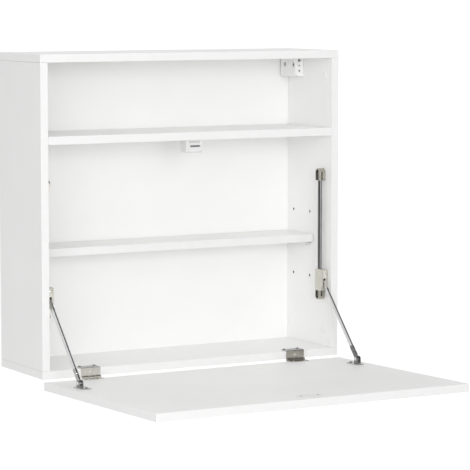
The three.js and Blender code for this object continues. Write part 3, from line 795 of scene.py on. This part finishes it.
ROD = 4 * MM
ROD_CHAMFER = 0.5 * MM
ROD_BORE = ROD + CLEAR
HOLDER_SKIRT = 6 * MM
HOLDER_RIM = 2.3 * MM
HOLDER_BORE = 13 * MM
# The slit's half width, and how far from the round end it stops.
HOLDER_SLIT = (2 * MM, 6 * MM)
BEND_STEPS = 10
EYE = 4.8 * MM
EYE_BORE = 2.2 * MM
EYE_SLACK = 2.6 * MM
BLADE = 1.5 * MM
# How square a ring across the arm is: round, and nearly square.
ROUND, FLAT = 2, 7
# The rings of an eye, in degrees from its middle.
EYE_START, EYE_SWEEP, EYE_STEPS = 5, 80, 6
ARM_PIN = 1.9 * MM
SLOT_HALF = 2.7 * MM
SLOT_DEPTH = 10.6 * MM
GROOVE = 0.6 * MM
GROOVE_OFFSET = 4.6 * MM
SHADE_LINER_FIT = 0.05 * MM
SHADE_LINER_WALL = 0.4 * MM
BRAKE_SET_IN = 1.2 * MM
BRAKE_SCREW = 2.3 * MM
BRAKE_BORE = 2.6 * MM
BRAKE_SOCKET = 1.3 * MM
SPIGOT = 3.2 * MM
SPIGOT_START = 20 * MM
SLEEVE_END = 30 * MM
NECK = 24 * MM
NECK_TAPER = 9 * MM
TAPER_STEPS = 5
EAR = 6 * MM
EAR_GAP = 2.7 * MM
BRACKET_SHEET = 1.5 * MM
BRACKET_CORNER = 3.5 * MM
BRACKET_SCREWS = (16 * MM, -14 * MM)
# The sleeve's mouth: stations and radii in millimetres.
SLEEVE_MOUTH = ((17, 4.4), (17.6, 4), (18.8, 4), (19.4, 4.4), (29.5, 4.4), (30, 4))


def guide_rod(side):
    """The round rod that the slider runs on; gives the centre of its foot."""
    node = f"{side}_guide_rod"
    low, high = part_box(node)
    foot = Vector(((low.x + high.x) / 2, (low.y + high.y) / 2, low.z))
    rod = turned(pin_profile(high.z - low.z, ROD, ROD_CHAMFER), foot, Z, 64)
    publish(f"{side}_slide_rod", rod, "cabinet", "chrome", [node], finish="dark_chrome")
    return foot


def arch(y0, y1, flat, end, margin):
    """The outline of a holder: flat at one end and round at the other, set in by a margin."""
    towards = 1 if end > flat else -1
    bend = (y1 - y0) / 2 - margin - 0.05 * MM
    start = flat if not margin else flat - towards * MM
    return filleted([
        (y0 + margin, start, 0), (y1 - margin, start, 0),
        (y1 - margin, end - towards * margin, bend), (y0 + margin, end - towards * margin, bend),
    ], BEND_STEPS)


def rod_holder(side, level, rod):
    """A round-ended metal holder on the side panel, hollow round the rod and slit in front."""
    node = f"{side}_rod_{level}_holder"
    low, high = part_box(node)
    sign = SIDES[side]
    towards, skirt = (1, HOLDER_SKIRT) if level == "upper" else (-1, 0)
    flat, end = (low.z - skirt, high.z) if level == "upper" else (high.z, low.z)
    inner = low.x if sign > 0 else high.x
    slit_half, slit_end = HOLDER_SLIT
    slit = sorted((flat - towards * MM, end - towards * slit_end))
    bore_start = Vector((rod.x, rod.y, flat - towards * MM))
    bore_end = Vector((rod.x, rod.y, flat + towards * (skirt + HOLDER_BORE)))
    hollow = sorted((inner - sign * MM, rod.x - sign * 0.5 * MM))
    holder = carved(
        extruded(arch(low.y, high.y, flat, end, 0), low.x, high.x, "X"),
        drill(ROD_BORE, bore_start, bore_end),
        extruded(arch(low.y, high.y, flat, end, HOLDER_RIM), *hollow, "X"),
        extruded(
            rounded(rod.x - slit_half, rod.x + slit_half, *slit, 1.2 * MM), low.y - MM, rod.y, "Y"),
    )
    publish(
        f"{side}_{level}_rod_foot", holder, "cabinet", "zinc", [node], soft=0.5 * MM,
        finish=NICKEL_LIT_AND_SHADED[side])


def slider(side, rod):
    """The cast block that runs on the rod; a slot in its lower front takes the arm's eye."""
    node = f"{side}_slider_body"
    low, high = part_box(node)
    screw_low, screw_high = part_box(f"{side}_brake_screw")
    brake = (screw_low + screw_high) / 2
    pin_low, pin_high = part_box(f"{side}_arm_pin")
    slot_top = (pin_low.z + pin_high.z) / 2 + EYE + EYE_SLACK
    outline = filleted([
        (low.y + 8 * MM, low.z, 1.5 * MM), (high.y, low.z, 1.2 * MM), (high.y, high.z, 1.2 * MM),
        (low.y + 2 * MM, high.z, MM), (low.y, high.z - 2 * MM, MM), (low.y, low.z + 12 * MM, 2 * MM),
    ])
    slot_back = low.y + SLOT_DEPTH
    grooves = []
    for x in (rod.x - GROOVE_OFFSET, rod.x + GROOVE_OFFSET):
        groove = rounded(x - GROOVE, x + GROOVE, low.y - MM, low.y + 2 * MM, 0.4 * MM)
        grooves.append(extruded(groove, low.z - MM, high.z + MM, "Z"))
    slot = rounded(rod.x - SLOT_HALF, rod.x + SLOT_HALF, low.y - 5 * MM, slot_back, 1.2 * MM)
    cast = carved(
        extruded(outline, low.x, high.x, "X"),
        drill(ROD_BORE, Vector((rod.x, rod.y, low.z - MM)), Vector((rod.x, rod.y, high.z + MM))),
        extruded(slot, low.z - MM, slot_top, "Z"),
        drill(BRAKE_BORE, Vector((rod.x, low.y - MM, brake.z)), Vector((rod.x, rod.y, brake.z))),
        *grooves,
    )
    publish(f"{side}_slide_block", cast, f"{side}_slider", "zinc", [node], soft=0.5 * MM)
    # A near-black liner round the eye in the arm's slot: painted shade in the slot.
    outer, inner, mouth = SLOT_HALF - SHADE_LINER_FIT, SLOT_HALF - SHADE_LINER_WALL, low.y + 0.6 * MM
    foot, roof = slot_top - 2 * EYE - EYE_SLACK, slot_top - SHADE_LINER_FIT
    shell = rounded(rod.x - outer, rod.x + outer, mouth, slot_back - SHADE_LINER_FIT, 1.15 * MM)
    hollow = rounded(rod.x - inner, rod.x + inner, mouth - 5 * MM, slot_back - SHADE_LINER_WALL, 0.8 * MM)
    shade_liner = carved(
        extruded(shell, foot, roof, "Z"),
        extruded(hollow, foot - MM, roof - SHADE_LINER_WALL, "Z"),
    )
    publish(f"{side}_slot_shade_liner", shade_liner, f"{side}_slider", "zinc", finish="slot_shade_plastic")
    head = low.y + BRAKE_SET_IN
    corners = [math.tau * corner / 6 for corner in range(6)]
    hexagon = [(BRAKE_SOCKET * math.cos(a), BRAKE_SOCKET * math.sin(a)) for a in corners]
    socket = extruded([(rod.x + a, brake.z + b) for a, b in hexagon], head - MM, head + 2 * MM, "Y")
    profile = pin_profile(screw_high.y - head, BRAKE_SCREW, 0.4 * MM)
    grub = carved(turned(profile, Vector((rod.x, head, brake.z)), Y), socket)
    publish(
        f"{side}_brake_grub_screw", grub, f"{side}_slider", "dark_steel", [f"{side}_brake_screw"],
        finish="bright_steel")


def flat_round(half_x, half_y, squareness, station, sides=32):
    """A ring across the arm, between round and flat."""
    ring = []
    power = 2 / squareness
    for index in range(sides):
        angle = math.tau * (index + 0.5) / sides
        c, s = math.cos(angle), math.sin(angle)
        x = half_x * math.copysign(abs(c) ** power, c)
        y = half_y * math.copysign(abs(s) ** power, s)
        ring.append((x, y, station))
    return ring


def eased(steps, start):
    """Shares from 0 to 1 in even steps, each with the share of a soft change between two shapes."""
    shares = [step / steps for step in range(start, steps + 1)]
    return [(share, share * share * (3 - 2 * share)) for share in shares]


def eye_rings(centre, way):
    """The round end of a flattened bar, from its centre outwards."""
    rings = []
    for step in range(EYE_STEPS + 1):
        angle = math.radians(EYE_START + EYE_SWEEP * step / EYE_STEPS)
        station = centre + way * EYE * math.sin(angle)
        rings.append(flat_round(BLADE, EYE * math.cos(angle), FLAT, station))
    return rings


def stay_arm(side):
    """A bar with a flattened eye in the slider and a crimped sleeve on the flap's bracket.

    Gives the place of its pivot in the flap's axes.
    """
    pivot = Vector(JOINTS[f"{side}_arm_hinge"]["pos_m"])
    pin_low, pin_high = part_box(f"{side}_arm_pin")
    reach = (pin_low + pin_high) / 2 - pivot
    length = math.hypot(reach.y, reach.z)
    arm = Matrix.Translation(pivot) @ Matrix.Rotation(-math.atan2(reach.y, reach.z), 4, "X")
    neck = length - NECK
    bar_start = SLEEVE_END + CLEAR
    bar = [flat_round(SPIGOT, SPIGOT, ROUND, at) for at in (SPIGOT_START + CLEAR, bar_start)]
    for share in (0.001, 0.33, 0.66, 0.99):
        bar.append(flat_round(ROD, ROD, ROUND, bar_start + (neck - SLEEVE_END) * share))
    for share, ease in eased(TAPER_STEPS, 1):
        half_x, half_y = ROD + (BLADE - ROD) * ease, ROD + 0.5 * MM * ease
        squareness = ROUND + (FLAT - ROUND) * ease
        bar.append(flat_round(half_x, half_y, squareness, neck + NECK_TAPER * share))
    bar += eye_rings(length, 1)
    eye_bore, pivot_bore = [
        drill(EYE_BORE, Vector((-5 * MM, 0, z)), Vector((5 * MM, 0, z))) for z in (length, 0)]
    publish(
        f"{side}_stay_bar", carved(skinned(bar), eye_bore), f"{side}_arm", "chrome",
        [f"{side}_arm_rod"], arm)
    sleeve = list(reversed(eye_rings(0, -1)))
    for share, ease in eased(TAPER_STEPS, 0):
        half_x, half_y = BLADE + 2.9 * MM * ease, EYE - 0.4 * MM * ease
        squareness = FLAT - (FLAT - ROUND) * ease
        sleeve.append(flat_round(half_x, half_y, squareness, (5 + 8 * share) * MM))
    for station, radius in SLEEVE_MOUTH:
        sleeve.append(flat_round(radius * MM, radius * MM, ROUND, station * MM))
    spigot_bore = drill(SPIGOT + CLEAR, Z * SPIGOT_START, Z * (SLEEVE_END + MM))
    tube = carved(skinned(sleeve), pivot_bore, spigot_bore)
    publish(
        f"{side}_stay_sleeve", tube, f"{side}_arm", "dark_steel", [f"{side}_arm_sleeve"], arm,
        finish=SLEEVE_LIT_AND_SHADED[side])
    half_pin = (pin_high.x - pin_low.x) / 2
    profile = pin_profile(2 * half_pin, ARM_PIN, 0.3 * MM)
    pin = turned(profile, Vector((-half_pin, 0, length)), X)
    publish(f"{side}_stay_pin", pin, f"{side}_arm", "bright_steel", [f"{side}_arm_pin"], arm)
    return FLAP.inverted() @ pivot


def flap_bracket(side, pivot):
    """A pressed plate with two ears that hold the rivet."""
    node = f"{side}_flap_bracket"
    low, high = box_in(node, FLAP)
    ear_low = low.z + 0.2 * MM
    ear_bend = EAR - 0.1 * MM
    plate_top = low.z + BRACKET_SHEET
    plate = extruded(rounded(low.x, high.x, low.y, high.y, BRACKET_CORNER), low.z, plate_top, "Z")
    ear = filleted([
        (pivot.y - EAR, ear_low, 0), (pivot.y + EAR, ear_low, 0),
        (pivot.y + EAR, pivot.z + EAR, ear_bend), (pivot.y - EAR, pivot.z + EAR, ear_bend),
    ], BEND_STEPS)
    ears = []
    for way in (-1, 1):
        span = sorted((pivot.x + way * EAR_GAP, pivot.x + way * (EAR_GAP + BRACKET_SHEET)))
        ears.append(extruded(ear, *span, "X"))
    through = X * (9 * MM)
    pressed = carved(joined(plate, *ears), drill(EYE_BORE, pivot - through, pivot + through))
    piece = publish(
        f"{side}_pressed_bracket", pressed, "flap", "nickel", [node], FLAP, 0.25 * MM, "steel")
    darken_faces(piece, lambda face: (FLAP.inverted() @ face.center).z > plate_top + MM)
    middle = (low.x + high.x) / 2
    long_way = 1 if high.y - pivot.y > pivot.y - low.y else -1
    for number, distance in enumerate(BRACKET_SCREWS, 1):
        at = Vector((middle, pivot.y + long_way * distance, plate_top))
        screw(f"{side}_bracket_screw_{number}", "pan", at, Z, 3 * MM, "flap", "dark_steel", FLAP)
    inner = EAR_GAP + BRACKET_SHEET + CLEAR
    end = inner + 1.4 * MM
    profile = [
        (-end, 0), (-end, 1.6 * MM), (-end + 0.5 * MM, 2.8 * MM), (-end + 0.9 * MM, 3.2 * MM),
        (-inner, 3.2 * MM), (-inner, 1.9 * MM),
    ]
    profile += [(-station, radius) for station, radius in reversed(profile)]
    publish(
        f"{side}_stay_rivet", turned(profile, pivot, X), "flap", "bright_steel",
        [f"{side}_bracket_rivet"], FLAP, finish="pale_steel")


for side in SIDES:
    cabinet_leaf(side)
    flap_leaf(side)
    hinge_pin(side)
    rod_foot = guide_rod(side)
    rod_holder(side, "upper", rod_foot)
    rod_holder(side, "lower", rod_foot)
    slider(side, rod_foot)
    flap_bracket(side, stay_arm(side))

# ---------- catch and strike

NOSE_REACH = 3.8 * MM
NOSE_SIDE = 3 * MM
NOSE_BELOW = 10.5 * MM
NOSE_ABOVE = 1.3 * MM
POCKET_HALF = 12 * MM
POCKET_HEIGHT = 4 * MM
POCKET_DEPTH = 1.2 * MM
POCKET_RIM = 1.3 * MM
STRIKE_ROUND = 7.9 * MM
STRIKE_SCREW = 2.8 * MM
STRIKE_SCREW_SPREAD = 17.5 * MM


def catch():
    """A plastic case under the fixed shelf, with a grey insert in a pocket as painted shade; a magnet bar shows in
    its nose's slot.
    """
    low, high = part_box("catch_housing")
    magnet_low, magnet_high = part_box("catch_magnet")
    nose_half = magnet_high.x + NOSE_SIDE
    nose_low = magnet_low.z - NOSE_BELOW
    nose_high = magnet_high.z + NOSE_ABOVE
    base = low.y + NOSE_REACH
    body_outline = filleted([
        (base, high.z, 0), (base, low.z, 2 * MM), (high.y, low.z, 2 * MM), (high.y, high.z, 0),
    ])
    nose_outline = filleted([
        (base + MM, nose_low, 0), (base + MM, nose_high, 0), (low.y, nose_high, 0.6 * MM),
        (low.y, nose_low + 2 * MM, MM), (low.y + 2 * MM, nose_low, MM),
    ])
    slot = rounded(
        magnet_low.x - CLEAR, magnet_high.x + CLEAR, magnet_low.z - CLEAR, magnet_high.z + CLEAR,
        0.6 * MM)
    pocket_high = high.z - POCKET_RIM
    pocket_low = pocket_high - POCKET_HEIGHT
    pocket = rounded(-POCKET_HALF, POCKET_HALF, pocket_low, pocket_high, 0.5 * MM)
    body = extruded(body_outline, low.x, high.x, "X")
    nose = extruded(nose_outline, -nose_half, nose_half, "X")
    case = carved(
        joined(body, nose),
        extruded(slot, low.y - MM, magnet_high.y + CLEAR, "Y"),
        extruded(pocket, base - MM, base + POCKET_DEPTH, "Y"),
    )
    publish(
        "catch_case", case, "cabinet", "white_plastic", ["catch_housing"], soft=0.4 * MM,
        finish="dull_plastic")
    # The grey insert in the case's pocket is painted shade.
    insert = rounded(
        -POCKET_HALF + CLEAR, POCKET_HALF - CLEAR, pocket_low + CLEAR, pocket_high - CLEAR,
        0.4 * MM)
    slide = extruded(insert, base + 0.3 * MM, base + 1.15 * MM, "Y")
    publish("catch_pocket_shade", slide, "cabinet", "white_plastic", soft=0.2 * MM, finish="pocket_shade_plastic")
    outline = rounded(magnet_low.x, magnet_high.x, magnet_low.z, magnet_high.z, 0.5 * MM)
    bar = extruded(outline, low.y + 0.8 * MM, magnet_high.y, "Y")
    publish(
        "catch_magnet_bar", bar, "cabinet", "bright_steel", ["catch_magnet"], soft=0.2 * MM,
        finish="dark_steel")


def strike():
    """A thin steel plate with round ends on the flap, where it meets the magnet."""
    low, high = box_in("strike_plate", FLAP)
    middle = (low.y + high.y) / 2
    outline = rounded(low.x, high.x, low.y, high.y, STRIKE_ROUND, 12)
    plate = extruded(outline, low.z, high.z, "Z")
    publish("strike_blade", plate, "flap", "bright_steel", ["strike_plate"], FLAP, 0.3 * MM, "pale_steel")
    for number, x in enumerate((-STRIKE_SCREW_SPREAD, STRIKE_SCREW_SPREAD), 1):
        at = Vector((x, middle, high.z))
        screw(f"strike_screw_{number}", "countersunk", at, Z, STRIKE_SCREW, "flap", "dark_steel", FLAP)


catch()
strike()

# ---------- shelf pins and cam caps

PIN_PITCH = 64 * MM
# A shelf pin's collars: stations and radii in millimetres.
PEG_COLLARS = [
    (0, 0), (0, 3.7), (0.7, 4.4), (5.4, 4.4), (5.7, 4.0), (6.4, 4.0), (6.7, 4.5), (7.6, 4.5),
    (7.7, 2.5),
]
PEG = 2.5 * MM
PEG_TIP = 1.9 * MM
BORE_DEPTH = 8.6 * MM
BORE_INSIDE = 2.35 * MM
BORE_OUTSIDE = 2.75 * MM
CAP_RIM = 8.6 * MM
CAP_STEM = 6.4 * MM
CAP_EDGE = 0.3 * MM


def shelf_pin(node, sign):
    """A steel pin with two collars, from its end in the side panel to its tip under the shelf."""
    low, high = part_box(node)
    tip = high.x if sign > 0 else low.x
    start = low.x if sign > 0 else high.x
    at = Vector((start, (low.y + high.y) / 2, (low.z + high.z) / 2))
    length = abs(tip - start)
    profile = [(station * MM, radius * MM) for station, radius in PEG_COLLARS]
    profile += [(length - 0.6 * MM, PEG), (length, PEG_TIP), (length, 0)]
    name = node.replace("shelf_pin", "shelf_peg")
    publish(name, turned(profile, at, sign * X), "cabinet", "bright_steel", [node])


def bore_linings(side):
    """The raw chipboard in the shelf-pin holes above and below the pins, which hold no pin; its near-black is
    partly the chipboard's colour and partly painted shade in the holes.
    """
    sign = SIDES[side]
    profile = [
        (BORE_DEPTH - MM, 0), (BORE_DEPTH - MM, BORE_INSIDE), (0, BORE_INSIDE), (0, BORE_OUTSIDE),
        (BORE_DEPTH, BORE_OUTSIDE), (BORE_DEPTH, 0),
    ]
    for place in ("front", "rear"):
        low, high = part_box(f"{side}_{place}_shelf_pin")
        middle = (low + high) / 2
        for name, way in (("lower", -1), ("upper", 1)):
            at = Vector((sign * (INNER_HALF + CLEAR), middle.y, middle.z + way * PIN_PITCH))
            publish(
                f"{side}_{name}_{place}_bore_lining", turned(profile, at, sign * X, 24), "cabinet",
                "white_board", finish="chipboard_with_hole_shade")


def cam_cap(node, sign):
    """A domed plastic cap pressed over a cam lock."""
    low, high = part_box(node)
    at = Vector((sign * INNER_HALF, (low.y + high.y) / 2, (low.z + high.z) / 2))
    profile = [
        (-2 * MM, 0), (-2 * MM, CAP_STEM), (0, CAP_STEM), (0, CAP_RIM - 0.2 * MM),
        (CAP_EDGE, CAP_RIM),
    ]
    profile += [
        (CAP_EDGE + 0.7 * MM * math.sin(a), CAP_RIM * math.cos(a)) for a in (0.5, 0.9, 1.2)]
    profile.append((MM, 0))
    cap = turned(profile, at, -sign * X)
    publish(node.replace("lock", "cap"), cap, "cabinet", "white_plastic", [node])


HANGER_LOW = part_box("right_hanger_body")[0]
for side, sign in SIDES.items():
    bore_linings(side)
    for place in ("front", "rear"):
        shelf_pin(f"{side}_{place}_shelf_pin", sign)
        for level in ("lower", "upper"):
            cam = f"{side}_{level}_{place}_cam_lock"
            cam_low, cam_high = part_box(cam)
            behind_hanger = cam_high.z > HANGER_LOW.z and cam_low.y > HANGER_LOW.y
            if not behind_hanger:
                cam_cap(cam, sign)

# ---------- wall hangers

CASE_WALL = 2 * MM
CASE_SOFT = 0.5 * MM
FIXING_HEIGHT = 23.8 * MM
FIXINGS_SET_IN = (8.1 * MM, 40.6 * MM)
# Half the width and half the height of the slots for the fixing screws.
FIXING_SLOT = (3.3 * MM, 4.8 * MM)
FIXING_SLOT_ROUND = 3.2 * MM
FIXING_DEPTH = 3 * MM
FIXING_SCREW = 4.6 * MM
# The notch in the lower front edge, from the case's inner face.
NOTCH = (1 * MM, 6 * MM)
NOTCH_HEIGHT = 2.6 * MM
ADJUSTER = 2.3 * MM
HOOK_SOFT = 0.6 * MM
WALL_PLATE_SOFT = 0.3 * MM


def hanger(side):
    """A plastic case in the top corner, with its fixing screws, adjusters and hook."""
    node = f"{side}_hanger_body"
    sign = SIDES[side]
    low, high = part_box(node)
    middle = (low.x + high.x) / 2
    height_low, height_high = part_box(f"{side}_hanger_height_screw")
    depth_low, depth_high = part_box(f"{side}_hanger_depth_screw")
    height_z = (height_low.z + height_high.z) / 2
    depth_z = (depth_low.z + depth_high.z) / 2
    inner = low.x if sign > 0 else high.x
    fixing_z = low.z + FIXING_HEIGHT
    fixings = [low.y + set_in for set_in in FIXINGS_SET_IN]
    outline = filleted([
        (low.y, low.z, 3 * MM), (high.y, low.z, 2 * MM), (high.y, high.z, 0.5 * MM),
        (low.y, high.z, 0.5 * MM),
    ])
    tools = [slab(
        low + CASE_WALL * Vector((1, 1, 1)),
        Vector((high.x - CASE_WALL, high.y + MM, high.z - CASE_WALL)),
    )]
    openings = {height_z: 3.1 * MM, (height_z + depth_z) / 2: 1.7 * MM, depth_z: 2.6 * MM}
    for z, radius in openings.items():
        start = Vector((middle, low.y - MM, z))
        tools.append(drill(radius, start, Vector((middle, low.y + CASE_WALL + MM, z))))
    half_y, half_z = FIXING_SLOT
    through = sorted((inner - sign * MM, inner + sign * (CASE_WALL + MM)))
    for y in fixings:
        slot = rounded(
            y - half_y, y + half_y, fixing_z - half_z, fixing_z + half_z, FIXING_SLOT_ROUND)
        tools.append(extruded(slot, *through, "X"))
    notch = rounded(
        *sorted(inner + sign * edge for edge in NOTCH), low.z - MM, low.z + NOTCH_HEIGHT, 0.5 * MM)
    tools.append(extruded(notch, low.y - MM, low.y + 6 * MM, "Y"))
    case = carved(extruded(outline, low.x, high.x, "X"), *tools)
    publish(f"{side}_hanger_case", case, "cabinet", "white_plastic", [node], soft=CASE_SOFT)
    for number, y in enumerate(fixings, 1):
        at = Vector((inner + sign * (CASE_WALL + FIXING_DEPTH), y, fixing_z))
        name = f"{side}_hanger_fixing_screw_{number}"
        screw(name, "pan", at, -sign * X, FIXING_SCREW, "cabinet")
    for name, slot in (("height", "dark_steel"), ("depth", "bright_steel")):
        screw_node = f"{side}_hanger_{name}_screw"
        start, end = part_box(screw_node)
        at = Vector((middle, start.y, (start.z + end.z) / 2))
        recess = cross_recess(RECESS_START, 1.0, 0.7)
        recess.transform(looking(at, -Y) @ Matrix.Scale(ADJUSTER, 4))
        adjuster = carved(turned(pin_profile(end.y - start.y, ADJUSTER, 0.4 * MM), at, Y), recess)
        publish(f"{side}_hanger_{name}_adjuster", adjuster, "cabinet", slot, [screw_node])
    soften(frame["nodes"][f"{side}_hanger_hook"], HOOK_SOFT)
    soften(frame["nodes"][f"{side}_wall_plate"], WALL_PLATE_SOFT)


for side in SIDES:
    hanger(side)
